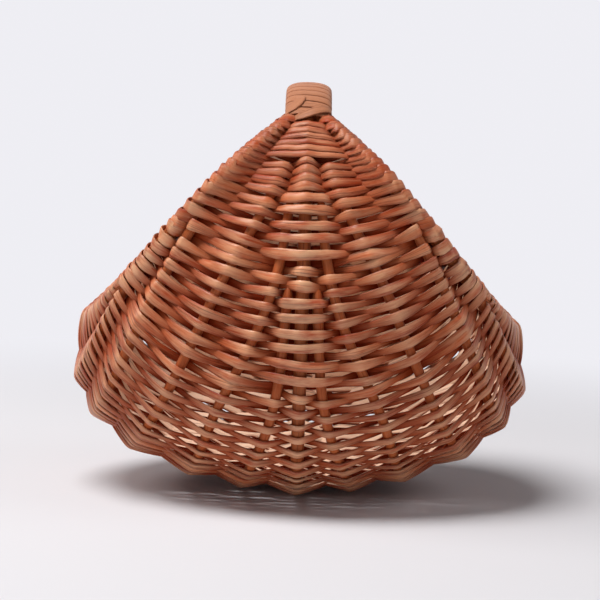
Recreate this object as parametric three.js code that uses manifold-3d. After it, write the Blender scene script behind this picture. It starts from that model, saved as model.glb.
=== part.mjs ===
// A rib-built willow basket with a short wrapped handle, in millimetres, +Z up.
// It stands on the floor plane z = 0, centred on the origin, with the handle running along Y.
//
// The frame is three hoops, which lie side by side in the handle: the middle one goes down and round
// as the keel, and the outer two spread at the ears and become the left and right rims.
// Ribs are let in between them, and weavers run to and fro from rim to rim, over one rod, under the next.

import * as THREE from 'three';
import Module from 'manifold-3d';
import { mergeVertices } from 'three/addons/utils/BufferGeometryUtils.js';

// Overall form, on the centre lines of the rods
const HOOP_TOP = 252;            // height of the handle's rods at mid handle
const BELLY_HALF_DEPTH = 104;    // half the keel's depth along Y
const BELLY_HEIGHT = 100;        // height at which the keel is deepest
const BELLY_SQUARENESS = 2.5;    // 2 is a true ellipse under the belly; more is flatter underneath
const EAR_DROP = 17;             // how far below the top of the hoops the rims leave the keel hoop
const RIM_HALF_WIDTH = 132.5;    // half the width between the rims amidships
const RIM_LOW_HEIGHT = 106;      // height of the rims amidships
const RIM_HALF_DEPTH = 80;       // half the depth of each mouth along Y
const MOUTH_DROP = 58;           // distance down the slope from the ears to the deepest part of the mouth
const RIM_BOW = 60;              // how strongly the rims bow out sideways below the ears
const RIM_BOW_FADE = 2.5;        // and how soon the bow is lost on the way down

// Rods
const HOOP_ROD = 8.2;            // diameter of the three hoops
const RIB_ROD = 6.2;             // diameter of the ribs
const HOOP_SPACE = 0.3;          // space between the hoops where they lie together
const JOINT_GAP = 0.4;           // space between the two ends of each hoop, under the wrapping

// Weavers
const WEAVER_THICKNESS = 2;
const ROWS = 69;                 // rows from the near ear to the far ear
const ROWS_PER_WEAVER = 3;       // rows that one weaver makes before its end is tucked in
const ROW_FILL = 0.66;           // share of the row pitch that a weaver's width fills
const EAR_PITCH = 0.5;           // row pitch at the ears, as a share of the pitch in the body
const TIGHT_ROWS = 12;           // rows over which the pitch opens out from each ear
const ROD_CLEARANCE = 0.6;       // between a weaver and the rods that it passes
const ROW_ROOM = 1.18;           // keel and rim spread to this share of a weaver's needs at the first row
const RIB_ROOM = 1.15;           // and neighbouring rods to this share where a weaver passes between them
const RIB_HEAD = 0.25;           // how far a rib stands above its first row, as a share of the row pitch
const RIM_DRIFT = [0.14, 0.34];  // shares of the way to the next row at the two corners round a rim
const FOOT_CUT = 0.5;            // depth of the flat worn under the lowest weavers

// Handle wrapping: one flat skein wound round the three hoops
const SKEIN_WIDTH = 5;
const SKEIN_THICKNESS = 1.1;
const SKEIN_GAP = 1;             // between neighbouring turns, on the handle's centre line
const LEAST_SKEIN_GAP = 0.4;     // what the turns must keep where the handle bends

// Ribs: place between keel (0) and rim (1) near the ears and amidships, the shares of the keel between
// which it moves from the one to the other, and the share above which the rib isn't let in
const RIBS = [
  { ear: 0.08, amidships: 0.15, from: 0.5, to: 0.85, start: 0.34 },
  { ear: 0.145, amidships: 0.298, from: 0.26, to: 0.68, start: 0.18 },
  { ear: 0.3, amidships: 0.487, from: 0.05, to: 0.42, start: 0.11 },
  { ear: 0.96, amidships: 0.65, from: 0, to: 0.95, start: 0.27 },
  { ear: 1.06, amidships: 0.79, from: 0.3, to: 1, start: 0.36 },
];
const LET_IN_ORDER = [2, 3, 1, 4, 0];

// Row shapes, as Bezier control points: share of the rim's half width, share of its rise
const EAR_ROW = [[0, 0], [0.42, 0.02], [0.74, 0.5], [1, 1]];
const FULL_ROW = [[0, 0], [0.575, 0], [1.24, 0.342], [1, 1]];
const FULLNESS_START = 0.24;     // the rows keep the ear's shape down to this share of the keel
const RIM_LEAD = 0.64;           // how far the rows run ahead at the rim, between ear and amidships
const RIM_LEAD_FADE = 1.2;       // and how soon the lead is lost on the way down

// Facets, and the fineness with which lengths along curves are measured
const HOOP_SIDES = 8;
const HOOP_STEPS = 80;
const RIB_SIDES = 6;
const RIB_STEP = 16;             // length of one rib facet
const SHARP_BEND = THREE.MathUtils.degToRad(62);  // a weaver bends further than this over two corners
const ARC_DIVISIONS = 600;

const COLOURS = { hoop: 0x9c5a38, rib: 0xa8633f, weaver: 0xb8704a, skein: 0xd09673 };
const ROUGHNESS = 0.55;

const wasm = await Module();
wasm.setup();

const hoopReach = HOOP_ROD / 2 + ROD_CLEARANCE + WEAVER_THICKNESS / 2;
const ribReach = RIB_ROD / 2 + ROD_CLEARANCE + WEAVER_THICKNESS / 2;
const earHeight = HOOP_TOP - EAR_DROP;
const keelBottom = hoopReach + WEAVER_THICKNESS / 2 - FOOT_CUT;
const hoopSpacing = HOOP_ROD + HOOP_SPACE;

// The middle hoop's half in front of the basket's middle, from the angle of the ear (0) to the bottom (1)
class HoopHalf extends THREE.Curve {
  constructor(topAngle) {
    super();
    this.topAngle = topAngle;
    this.arcLengthDivisions = ARC_DIVISIONS;
  }

  getPoint(share) {
    const angle = this.topAngle - share * (this.topAngle + Math.PI / 2);
    const across = Math.cos(angle);
    const along = Math.abs(Math.sin(angle));
    if (angle >= 0) {
      const rise = (HOOP_TOP - BELLY_HEIGHT) * along;
      return new THREE.Vector3(0, -BELLY_HALF_DEPTH * across, BELLY_HEIGHT + rise);
    }
    const power = 2 / BELLY_SQUARENESS;
    const fall = (BELLY_HEIGHT - keelBottom) * along ** power;
    return new THREE.Vector3(0, -BELLY_HALF_DEPTH * Math.max(across, 0) ** power, BELLY_HEIGHT - fall);
  }
}

const earAngle = Math.asin((earHeight - BELLY_HEIGHT) / (HOOP_TOP - BELLY_HEIGHT));
const keel = new HoopHalf(earAngle);
const earHalfSpan = -keel.getPoint(0).y;

// The right rim's half in front, from the ear (0) to amidships (1), bowed out of a plane that slopes sideways
class RimHalf extends THREE.Curve {
  constructor() {
    super();
    this.arcLengthDivisions = ARC_DIVISIONS;
    this.start = new THREE.Vector3(hoopSpacing, 0, earHeight);
    this.slope = new THREE.Vector3(RIM_HALF_WIDTH, 0, RIM_LOW_HEIGHT).sub(this.start);
    this.reach = this.slope.length();
    this.slope.normalize();
  }

  getPoint(share) {
    const startAngle = Math.acos(earHalfSpan / RIM_HALF_DEPTH);
    const angle = startAngle - share * (startAngle + Math.PI / 2);
    const upper = MOUTH_DROP / Math.sin(startAngle);
    const drop = MOUTH_DROP - (angle >= 0 ? upper : this.reach - MOUTH_DROP) * Math.sin(angle);
    const fall = THREE.MathUtils.clamp(drop / this.reach, 0, 1);
    const point = this.start.clone().addScaledVector(this.slope, drop);
    point.x += RIM_BOW * fall * (1 - fall) ** RIM_BOW_FADE;
    point.y = -RIM_HALF_DEPTH * Math.cos(angle);
    return point;
  }
}

const rim = new RimHalf();

// Surface on which the rods lie: way runs 0 to 2 from the near ear under the basket to the far ear,
// and across runs -1 to 1 from the left rim over the keel (0) to the right rim.
function surfacePoint(way, across) {
  const share = THREE.MathUtils.clamp(way <= 1 ? way : 2 - way, 0, 1);
  const lead = share + RIM_LEAD * share * (1 - share) ** RIM_LEAD_FADE;
  const keelPoint = keel.getPointAt(share);
  const rimPoint = rim.getPointAt(THREE.MathUtils.clamp(lead, 0, 1));
  const full = THREE.MathUtils.smoothstep(share, FULLNESS_START, 1);
  const t = Math.abs(across);
  const weights = [(1 - t) ** 3, 3 * t * (1 - t) ** 2, 3 * t ** 2 * (1 - t), t ** 3];
  let out = 0;
  let up = 0;
  weights.forEach((weight, i) => {
    out += weight * THREE.MathUtils.lerp(EAR_ROW[i][0], FULL_ROW[i][0], full);
    up += weight * THREE.MathUtils.lerp(EAR_ROW[i][1], FULL_ROW[i][1], full);
  });
  const y = THREE.MathUtils.lerp(keelPoint.y, rimPoint.y, up);
  const z = THREE.MathUtils.lerp(keelPoint.z, rimPoint.z, up);
  return new THREE.Vector3(Math.sign(across) * out * rimPoint.x, way <= 1 ? y : -y, z);
}

// Direction of a rod that runs at the given place across
function rodDirection(way, acrossAt) {
  const step = 2e-3;
  const before = surfacePoint(way - step, acrossAt(way - step));
  const after = surfacePoint(way + step, acrossAt(way + step));
  return after.sub(before).normalize();
}

function ribAcross(rib, way) {
  const share = way <= 1 ? way : 2 - way;
  return THREE.MathUtils.lerp(rib.ear, rib.amidships, THREE.MathUtils.smoothstep(share, rib.from, rib.to));
}

// Distance between two rods on one row, square to the one on which the row lies most slanted
function rodSpacing(way, acrossA, acrossB) {
  const link = surfacePoint(way, acrossB(way)).sub(surfacePoint(way, acrossA(way)));
  const square = (axis) => link.clone().addScaledVector(axis, -axis.dot(link)).length();
  return Math.min(square(rodDirection(way, acrossA)), square(rodDirection(way, acrossB)));
}

const keelAcross = () => 0;
const rimAcross = () => 1;

// Rows: their ways, tighter at the ears, starting where a weaver has room between keel and rim
function rowWays() {
  const startStep = 0.002;
  let first = startStep;
  while (rodSpacing(first, keelAcross, rimAcross) < ROW_ROOM * 2 * hoopReach) {
    first += startStep;
  }
  const steps = [];
  for (let row = 1; row < ROWS; row += 1) {
    const fromEar = Math.min(row, ROWS - row) / TIGHT_ROWS;
    steps.push(THREE.MathUtils.lerp(EAR_PITCH, 1, Math.min(1, fromEar)));
  }
  const total = steps.reduce((sum, step) => sum + step, 0);
  const ways = [first];
  steps.forEach((step) => ways.push(ways.at(-1) + (step / total) * (2 - 2 * first)));
  return ways;
}

const ways = rowWays();
const weaverCount = Math.ceil(ROWS / ROWS_PER_WEAVER);

// Which ribs each weaver meets. A rib is let in at the first weaver that finds room for it on both sides.
// Beside the keel there only has to be room for the rod: until a weaver fits in between, it passes both at once.
function ribsOfWeavers() {
  const half = Math.ceil(weaverCount / 2);
  const sets = [];
  const present = new Set();
  for (let weaver = 0; weaver < half; weaver += 1) {
    const way = ways[weaver * ROWS_PER_WEAVER];
    const fromKeel = (index) => rodSpacing(way, (at) => ribAcross(RIBS[index], at), keelAcross);
    LET_IN_ORDER.forEach((index) => {
      const acrossAt = (at) => ribAcross(RIBS[index], at);
      const neighbours = [
        { at: rimAcross, reach: hoopReach },
        ...[...present].map((other) => ({ at: (at) => ribAcross(RIBS[other], at), reach: ribReach })),
      ];
      const fits = neighbours.every(({ at, reach }) => (
        rodSpacing(way, acrossAt, at) > RIB_ROOM * (ribReach + reach)
      ));
      const lies = fromKeel(index) > (HOOP_ROD + RIB_ROD) / 2 + ROD_CLEARANCE;
      if (fits && lies && acrossAt(way) < 1 && way > RIBS[index].start) {
        present.add(index);
      }
    });
    sets.push([...present].sort((a, b) => a - b).map((index) => (
      { index, withKeel: fromKeel(index) < RIB_ROOM * (ribReach + hoopReach) }
    )));
  }
  for (let weaver = half; weaver < weaverCount; weaver += 1) {
    sets.push(sets[weaverCount - 1 - weaver]);
  }
  return sets;
}

const weaverRibs = ribsOfWeavers();

// Closed body through rings of equally many points
function sweep(rings) {
  const sides = rings[0].length;
  const positions = rings.flat().flatMap((point) => [point.x, point.y, point.z]);
  const index = [];
  for (let ring = 0; ring + 1 < rings.length; ring += 1) {
    for (let side = 0; side < sides; side += 1) {
      const a = ring * sides + side;
      const b = ring * sides + (side + 1) % sides;
      index.push(a, b, a + sides, b, b + sides, a + sides);
    }
  }
  const last = (rings.length - 1) * sides;
  for (let side = 1; side + 1 < sides; side += 1) {
    index.push(0, side + 1, side);
    index.push(last, last + side, last + side + 1);
  }
  const geometry = new THREE.BufferGeometry();
  geometry.setAttribute('position', new THREE.Float32BufferAttribute(positions, 3));
  geometry.setIndex(index);
  return geometry;
}

// Flat strip along stations. At each it is creased along the station's axis, over half the width each way.
function strip(stations, thickness) {
  const rings = stations.map(({ point, axis, halfWidth }, i) => {
    const square = (vector) => vector.addScaledVector(axis, -axis.dot(vector)).normalize();
    const arriving = square(point.clone().sub(stations[Math.max(0, i - 1)].point));
    const leaving = square(stations[Math.min(stations.length - 1, i + 1)].point.clone().sub(point));
    const heading = arriving.clone().add(leaving).normalize();
    const isEnd = i === 0 || i === stations.length - 1;
    const mitre = isEnd ? 1 : 1 / Math.sqrt((1 + arriving.dot(leaving)) / 2);
    const depth = heading.cross(axis).multiplyScalar((mitre * thickness) / 2);
    const width = axis.clone().multiplyScalar(halfWidth);
    const corner = (a, b) => point.clone().addScaledVector(width, a).addScaledVector(depth, b);
    return [corner(-1, -1), corner(1, -1), corner(1, 1), corner(-1, 1)];
  });
  return sweep(rings);
}

function toSolid(geometry) {
  const bare = geometry.clone();
  bare.deleteAttribute('normal');
  bare.deleteAttribute('uv');
  const merged = mergeVertices(bare, 1e-4);
  return new wasm.Manifold(new wasm.Mesh({
    numProp: 3,
    vertProperties: new Float32Array(merged.attributes.position.array),
    triVerts: new Uint32Array(merged.index.array),
  }));
}

function fromSolid(solid) {
  const mesh = solid.getMesh();
  const geometry = new THREE.BufferGeometry();
  geometry.setAttribute('position', new THREE.Float32BufferAttribute(mesh.vertProperties, 3));
  geometry.setIndex([...mesh.triVerts]);
  return geometry;
}

// Takes off what reaches below the floor plane
function cutFoot(geometry) {
  geometry.computeBoundingBox();
  if (geometry.boundingBox.min.z >= 0) {
    return geometry;
  }
  const size = 4 * (BELLY_HALF_DEPTH + RIM_HALF_WIDTH);
  const floor = new THREE.BoxGeometry(size, size, size).translate(0, 0, -size / 2);
  return fromSolid(toSolid(geometry).subtract(toSolid(floor)));
}

function roundRod(points, diameter, sides, steps) {
  const section = new THREE.Shape(
    Array.from({ length: sides }, (_, i) => {
      const angle = (2 * Math.PI * (i + 0.5)) / sides;
      return new THREE.Vector2(Math.cos(angle), Math.sin(angle)).multiplyScalar(diameter / 2);
    }),
  );
  const path = new THREE.CatmullRomCurve3(points, false, 'centripetal');
  return new THREE.ExtrudeGeometry(section, { steps, extrudePath: path, bevelEnabled: false });
}

// The handle's arc on the middle hoop, from mid handle (0) to the near ear (1)
function handleArc(share) {
  const angle = THREE.MathUtils.lerp(Math.PI / 2, earAngle, share);
  const rise = (HOOP_TOP - BELLY_HEIGHT) * Math.sin(angle);
  return new THREE.Vector3(0, -BELLY_HALF_DEPTH * Math.cos(angle), BELLY_HEIGHT + rise);
}

// Points of a whole hoop, whose two ends meet at mid handle
function hoopPoints(handleX, belowEar) {
  const arcSteps = 4;
  const bodySteps = 30;
  const nearHalf = [];
  for (let i = 0; i < arcSteps; i += 1) {
    nearHalf.push(handleArc(i / arcSteps).setX(handleX));
  }
  nearHalf[0].y = -JOINT_GAP / 2;
  for (let i = 0; i < bodySteps; i += 1) {
    nearHalf.push(belowEar(i / bodySteps));
  }
  const mirrored = nearHalf.map((point) => new THREE.Vector3(point.x, -point.y, point.z)).reverse();
  return [...nearHalf, belowEar(1), ...mirrored];
}

function keelHoop() {
  return roundRod(hoopPoints(0, (share) => keel.getPointAt(share)), HOOP_ROD, HOOP_SIDES, HOOP_STEPS);
}

function rimHoop(side) {
  const belowEar = (share) => {
    const point = rim.getPointAt(share);
    return point.setX(side * point.x);
  };
  return roundRod(hoopPoints(side * hoopSpacing, belowEar), HOOP_ROD, HOOP_SIDES, HOOP_STEPS);
}

// A rib from a little above its first row, under the basket, to the same place at the back
function ribRod(index, side) {
  const firstWeaver = weaverRibs.findIndex((set) => set.some((met) => met.index === index));
  const firstRow = firstWeaver * ROWS_PER_WEAVER;
  const start = THREE.MathUtils.lerp(ways[firstRow], ways[Math.max(0, firstRow - 1)], RIB_HEAD);
  const pointCount = 41;
  const points = Array.from({ length: pointCount }, (_, i) => {
    const way = THREE.MathUtils.lerp(start, 2 - start, i / (pointCount - 1));
    return surfacePoint(way, side * ribAcross(RIBS[index], way));
  });
  const length = new THREE.CatmullRomCurve3(points).getLength();
  return roundRod(points, RIB_ROD, RIB_SIDES, Math.round(length / RIB_STEP));
}

// Rods that a row crosses, from left to right, each with the side on which the weaver passes it
function rowCrossings(row, ribSet) {
  const way = ways[row];
  const place = (acrossAt, reach, order) => ({
    across: acrossAt(way),
    reach,
    pass: (row + order) % 2 === 0 ? 1 : -1,
    centre: surfacePoint(way, acrossAt(way)),
    axis: rodDirection(way, acrossAt),
  });
  const joined = ribSet.filter((met) => met.withKeel).length;
  const half = (side) => [
    ...ribSet.map(({ index }, i) => (
      place((at) => side * ribAcross(RIBS[index], at), ribReach, Math.max(0, i + 1 - joined))
    )),
    place(() => side * rimAcross(), hoopReach, ribSet.length + 1 - joined),
  ];
  return [...half(-1).reverse(), place(keelAcross, hoopReach, 0), ...half(1)];
}

// The weaver's straight run from one rod to the next on its right, seen along the axis of one of the two:
// normal points square to the run on the basket's outer side, heading points along the run.
function runAt(rod, from, to) {
  const { axis } = rod;
  const link = to.centre.clone().sub(from.centre);
  link.addScaledVector(axis, -axis.dot(link));
  const distance = link.length();
  link.normalize();
  const out = axis.clone().cross(link);
  const rise = from.pass * from.reach - to.pass * to.reach;
  const lean = THREE.MathUtils.clamp(rise / distance, -1, 1);
  const level = Math.sqrt(1 - lean ** 2);
  return {
    tilt: Math.asin(Math.abs(lean)),
    normal: out.clone().multiplyScalar(level).addScaledVector(link, lean),
    heading: link.clone().multiplyScalar(level).addScaledVector(out, -lean),
  };
}

function halfWidthAt(row, across) {
  const before = surfacePoint(ways[Math.max(0, row - 1)], across);
  const after = surfacePoint(ways[Math.min(ROWS - 1, row + 1)], across);
  const rows = row === 0 || row === ROWS - 1 ? 1 : 2;
  return (ROW_FILL * before.distanceTo(after)) / rows / 2;
}

// Corners round a rim, from the run to the rim's outermost line, moving along it towards the next row
function rimStations(row, rod, run, outward, turnRow) {
  const halfStep = (Math.PI / 2 + run.tilt) / 4;
  const target = turnRow === null ? ways[row] : ways[turnRow];
  const base = run.normal.clone().multiplyScalar(rod.pass);
  const tip = run.heading.clone().multiplyScalar(outward);
  return [halfStep, 3 * halfStep].map((angle, i) => {
    const way = THREE.MathUtils.lerp(ways[row], target, RIM_DRIFT[i]);
    const reach = rod.reach / Math.cos(halfStep);
    const point = surfacePoint(way, rod.across)
      .addScaledVector(base, reach * Math.cos(angle))
      .addScaledVector(tip, reach * Math.sin(angle));
    return { point, axis: rod.axis, halfWidth: halfWidthAt(row, rod.across) };
  });
}

// One row's stations from left to right
function rowStations(row, ribSet, leftTurn, rightTurn) {
  const rods = rowCrossings(row, ribSet);
  const leftRun = runAt(rods[0], rods[0], rods[1]);
  const stations = rimStations(row, rods[0], leftRun, -1, leftTurn).reverse();
  for (let i = 1; i + 1 < rods.length; i += 1) {
    const rod = rods[i];
    const before = runAt(rod, rods[i - 1], rod).normal;
    const after = runAt(rod, rod, rods[i + 1]).normal;
    const bend = before.angleTo(after);
    const middle = before.clone().add(after).normalize();
    const facing = bend > SHARP_BEND
      ? [before.clone().add(middle).normalize(), after.clone().add(middle).normalize()]
      : [middle];
    facing.forEach((normal) => {
      const reach = rod.reach / Math.cos(bend / 2 / facing.length);
      const point = rod.centre.clone().addScaledVector(normal, rod.pass * reach);
      stations.push({ point, axis: rod.axis, halfWidth: halfWidthAt(row, rod.across) });
    });
  }
  const rightRun = runAt(rods.at(-1), rods.at(-2), rods.at(-1));
  stations.push(...rimStations(row, rods.at(-1), rightRun, 1, rightTurn));
  return stations;
}

// A weaver: its rows to and fro, turning round the right rim after even rows and the left after odd ones
function weaver(number) {
  const firstRow = number * ROWS_PER_WEAVER;
  const endRow = Math.min(ROWS, firstRow + ROWS_PER_WEAVER);
  const stations = [];
  for (let row = firstRow; row < endRow; row += 1) {
    const forward = row % 2 === 0;
    const arriving = row > firstRow ? row - 1 : null;
    const leaving = row + 1 < endRow ? row + 1 : null;
    const leftTurn = forward ? arriving : leaving;
    const rightTurn = forward ? leaving : arriving;
    const across = rowStations(row, weaverRibs[number], leftTurn, rightTurn);
    stations.push(...(forward ? across : across.reverse()));
  }
  return cutFoot(strip(stations, WEAVER_THICKNESS));
}

// The skein's turns round the three hoops, from ear to ear
function handleSkein() {
  const reach = HOOP_ROD / 2 + ROD_CLEARANCE + SKEIN_THICKNESS / 2;
  const corner = reach * Math.tan(Math.PI / 8);
  const halfLoop = [
    [hoopSpacing + corner, reach],
    [hoopSpacing + reach, corner],
    [hoopSpacing + reach, -corner],
    [hoopSpacing + corner, -reach],
  ];
  const loop = [...halfLoop, ...halfLoop.map(([x, out]) => [-x, -out])];
  const stepsPerHalf = 12;
  const arc = new THREE.CatmullRomCurve3(
    Array.from({ length: 2 * stepsPerHalf + 1 }, (_, i) => {
      const share = i / stepsPerHalf - 1;
      const point = handleArc(Math.abs(share));
      return share < 0 ? point : point.setY(-point.y);
    }),
  );
  arc.arcLengthDivisions = ARC_DIVISIONS;
  const length = arc.getLength() - SKEIN_WIDTH;
  const turns = Math.floor(length / (SKEIN_WIDTH + SKEIN_GAP));
  const stations = Array.from({ length: turns * loop.length + 1 }, (_, i) => {
    const [x, out] = loop[i % loop.length];
    const share = (SKEIN_WIDTH / 2 + (length * i) / (turns * loop.length)) / arc.getLength();
    const along = arc.getTangentAt(share);
    const outward = new THREE.Vector3(1, 0, 0).cross(along).normalize();
    const point = arc.getPointAt(share).addScaledVector(outward, out);
    return { point: point.setX(x), axis: along, halfWidth: SKEIN_WIDTH / 2 };
  });
  printSkeinGap(stations, loop.length, turns);
  return strip(stations, SKEIN_THICKNESS);
}

// Least gap between neighbouring turns, measured between the facing edges at points along the skein
function printSkeinGap(stations, stepsPerTurn, turns) {
  const pieces = 4;
  const edge = (step, way) => {
    const i = Math.floor(step);
    const next = stations[Math.min(i + 1, stations.length - 1)];
    const point = stations[i].point.clone().lerp(next.point, step - i);
    return point.addScaledVector(stations[i].axis, way * stations[i].halfWidth);
  };
  let least = Infinity;
  for (let i = 0; i < (stations.length - 1 - stepsPerTurn) * pieces; i += 1) {
    const gap = edge(i / pieces, 1).distanceTo(edge(i / pieces + stepsPerTurn, -1));
    least = Math.min(least, gap);
  }
  const verdict = least > LEAST_SKEIN_GAP ? 'clear' : 'TOO CLOSE';
  console.log(`skein: ${turns} turns, least gap ${least.toFixed(2)} mm, ${verdict}`);
}

function part(name, geometry, colour) {
  const material = new THREE.MeshStandardMaterial({ color: colour, roughness: ROUGHNESS, metalness: 0 });
  const mesh = new THREE.Mesh(geometry, material);
  mesh.name = name;
  return mesh;
}

const basket = new THREE.Group();
basket.add(part('keel_hoop', keelHoop(), COLOURS.hoop));
basket.add(part('rim_hoop_left', rimHoop(-1), COLOURS.hoop));
basket.add(part('rim_hoop_right', rimHoop(1), COLOURS.hoop));
RIBS.forEach((_, index) => {
  basket.add(part(`rib_left_${index + 1}`, ribRod(index, -1), COLOURS.rib));
  basket.add(part(`rib_right_${index + 1}`, ribRod(index, 1), COLOURS.rib));
});
for (let number = 0; number < weaverCount; number += 1) {
  const name = `weaver_${String(number + 1).padStart(2, '0')}`;
  basket.add(part(name, weaver(number), COLOURS.weaver));
}
basket.add(part('handle_skein', handleSkein(), COLOURS.skein));

export default basket;
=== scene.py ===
"""A rib-built willow basket with a skein-wrapped handle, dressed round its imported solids.

Lengths are in metres. The handle runs along Y, and the camera looks along +Y at the near ear.
"""

import math

import bpy
import numpy as np
from mathutils import Matrix, Vector


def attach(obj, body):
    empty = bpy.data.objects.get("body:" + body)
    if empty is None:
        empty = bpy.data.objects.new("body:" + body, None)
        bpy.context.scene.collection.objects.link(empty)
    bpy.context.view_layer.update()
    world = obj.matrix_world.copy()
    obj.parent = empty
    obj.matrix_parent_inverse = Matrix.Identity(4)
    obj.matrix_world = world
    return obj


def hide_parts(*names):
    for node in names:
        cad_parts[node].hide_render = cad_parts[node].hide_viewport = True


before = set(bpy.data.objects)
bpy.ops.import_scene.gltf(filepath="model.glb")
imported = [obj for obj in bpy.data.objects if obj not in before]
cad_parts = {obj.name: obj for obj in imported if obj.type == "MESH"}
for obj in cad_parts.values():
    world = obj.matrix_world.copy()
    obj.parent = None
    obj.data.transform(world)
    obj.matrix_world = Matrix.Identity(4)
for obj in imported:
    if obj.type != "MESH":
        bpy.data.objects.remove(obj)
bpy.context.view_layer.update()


# Hoops: three peeled willow rods, the thickest in the basket, each bent round into a ring.
# They lie side by side in the handle, where their ends meet. Below the ears the middle one is the keel,
# an egg standing on its blunt end, and the outer two are the rims, in planes that slope sideways.
HOOP_ROD = 0.0082
HOOP_SPACING = 0.0085
HOOP_GAP = 0.0004
HOOP_TOP = 0.252
EAR_DROP = 0.017
BELLY_HALF_DEPTH = 0.104
BELLY_HEIGHT = 0.1
BELLY_SQUARENESS = 2.5
KEEL_BOTTOM = 0.0062
RIM_HALF_WIDTH = 0.1325
RIM_LOW_HEIGHT = 0.106
RIM_HALF_DEPTH = 0.08
MOUTH_DROP = 0.058
RIM_BOW = 0.06
RIM_BOW_FADE = 2.5
LINE_POINTS = 1500

upper_rise = HOOP_TOP - BELLY_HEIGHT
ear_angle = math.asin((upper_rise - EAR_DROP) / upper_rise)


def keel_curve(angle):
    """Points of the middle hoop's near half, at angles from a quarter turn (top) to minus one (bottom)."""
    across, along = np.maximum(np.cos(angle), 0), np.abs(np.sin(angle))
    power = 2 / BELLY_SQUARENESS
    upper = angle >= 0
    y = np.where(upper, across, across ** power)
    z = np.where(upper, upper_rise * along, -(BELLY_HEIGHT - KEEL_BOTTOM) * along ** power)
    return np.stack([np.zeros_like(angle), -BELLY_HALF_DEPTH * y, BELLY_HEIGHT + z], axis=-1)


def rim_curve(angle, start_angle):
    """Points of the right rim's near half, from the ear's angle to minus a quarter turn amidships."""
    start = np.array([HOOP_SPACING, 0, HOOP_TOP - EAR_DROP])
    slope = np.array([RIM_HALF_WIDTH, 0, RIM_LOW_HEIGHT]) - start
    reach = np.linalg.norm(slope)
    upper = MOUTH_DROP / math.sin(start_angle)
    drop = MOUTH_DROP - np.where(angle >= 0, upper, reach - MOUTH_DROP) * np.sin(angle)
    fall = np.clip(drop / reach, 0, 1)
    points = start + drop[:, None] * slope / reach
    points[:, 0] += RIM_BOW * fall * (1 - fall) ** RIM_BOW_FADE
    points[:, 1] = -RIM_HALF_DEPTH * np.cos(angle)
    return points


def step_lengths(points):
    return np.linalg.norm(np.diff(points, axis=0), axis=1)


def by_length(points):
    """A function that gives the points at even shares, 0 to 1, of a line's length."""
    steps = step_lengths(points)
    shares = np.concatenate(([0], np.cumsum(steps))) / steps.sum()
    return lambda share: np.stack([np.interp(share, shares, points[:, i]) for i in range(3)], axis=-1)


ear_half_span = BELLY_HALF_DEPTH * math.cos(ear_angle)
rim_start = math.acos(ear_half_span / RIM_HALF_DEPTH)
keel_line = by_length(keel_curve(np.linspace(ear_angle, -math.pi / 2, LINE_POINTS)))
rim_line = by_length(rim_curve(np.linspace(rim_start, -math.pi / 2, LINE_POINTS), rim_start))


class Socket:
    """A node's output. Arithmetic on it adds Math nodes to its tree, be it a finish's or a shape's."""

    def __init__(self, tree, link):
        self.tree = tree
        self.link = link

    def maths(self, operation, *others):
        return add_node(self.tree, "ShaderNodeMath", {"operation": operation}, (self, *others))

    def __add__(self, other):
        return self.maths("ADD", other)

    def __sub__(self, other):
        return self.maths("SUBTRACT", other)

    def __rsub__(self, other):
        return add_node(self.tree, "ShaderNodeMath", {"operation": "SUBTRACT"}, (other, self))

    def __mul__(self, other):
        return self.maths("MULTIPLY", other)

    def __pow__(self, other):
        return self.maths("POWER", other)

    __radd__ = __add__
    __rmul__ = __mul__


def add_node(tree, kind, settings=None, values=(), output=0):
    """A new node with its settings made first; values are by socket name, or in the sockets' order."""
    node = tree.nodes.new(kind)
    for name, value in (settings or {}).items():
        if name == "stops":
            ramp = node.color_ramp.elements
            while len(ramp) < len(value):
                ramp.new(0.5)
            for stop, (position, colour) in zip(ramp, value):
                stop.position, stop.color = position, (*colour, 1)
        else:
            setattr(node, name, value)
    for key, value in (values.items() if isinstance(values, dict) else enumerate(values)):
        if isinstance(value, Socket):
            tree.links.new(value.link, node.inputs[key])
        else:
            node.inputs[key].default_value = value
    return Socket(tree, node.outputs[output])


def split_axes(vector):
    """The three numbers of a vector socket."""
    first = add_node(vector.tree, "ShaderNodeSeparateXYZ", values=(vector,))
    outputs = first.link.node.outputs
    return [Socket(vector.tree, outputs[axis]) for axis in range(3)]


# Grains are scales across and along a rod, bands are where a pattern sets in and is full,
# and shares are how far its colour then covers the stain.
# Each weaver's inner face is painted a pale pith colour, which also stands in for the light falling into the
# basket's inside.
PITH_AND_INSIDE_LIGHT = (0.95, 0.70, 0.52, 1)
PITH_AND_INSIDE_LIGHT_BAND = (-0.0003, -0.0010)
PITH_AND_INSIDE_LIGHT_SHARE = 0.8
TINT_SHIFT = 7.0
BLOTCH_GRAIN = (60.0, 38.0)
BLOTCH_BAND = (0.42, 0.72)
BLOTCH_SHARE = 0.66
FIBRE_GRAIN = (850.0, 32.0)
FIBRE_BAND = (0.42, 0.72)
FIBRE_SHARE = 0.06
# Pale fibres are grain; more of them show on the crests, partly as a painted highlight.
WORN_LIT_FIBRE_SHARE = 0.48
FIBRE_ROUGHNESS = 0.24
FIBRE_RELIEF = 0.0005
FIBRE_RELIEF_SHARE = 0.6
# Painted shade: the stain darkens where a weaver lies low and tucks under its neighbours.
TUCK_SHADE_SHARE = 0.95
# Painted shade along both edges of every strip and rod, where they meet their neighbours.
EDGE_SHADE_BAND = (0.0014, 0.0031)
EDGE_SHADE_SHARE = 0.55
# Paler streaks on the highest crests: partly wear, partly a painted highlight. The coat on them is a real
# shine.
CREST_POWER = 3.0
CREST_GRAIN = (220.0, 60.0)
CREST_BAND = (0.34, 0.60)
CREST_HIGHLIGHT_SHARE = 0.75
CREST_COAT = 0.8
COAT_ROUGHNESS = 0.34
SKIN_SPECULAR = 0.04
CRACK_GRAIN = (1300.0, 14.0)
CRACK_BAND = (0.6, 0.7)
CRACK_SHARE = 0.5
CRACK_DARKNESS = 0.45


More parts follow.
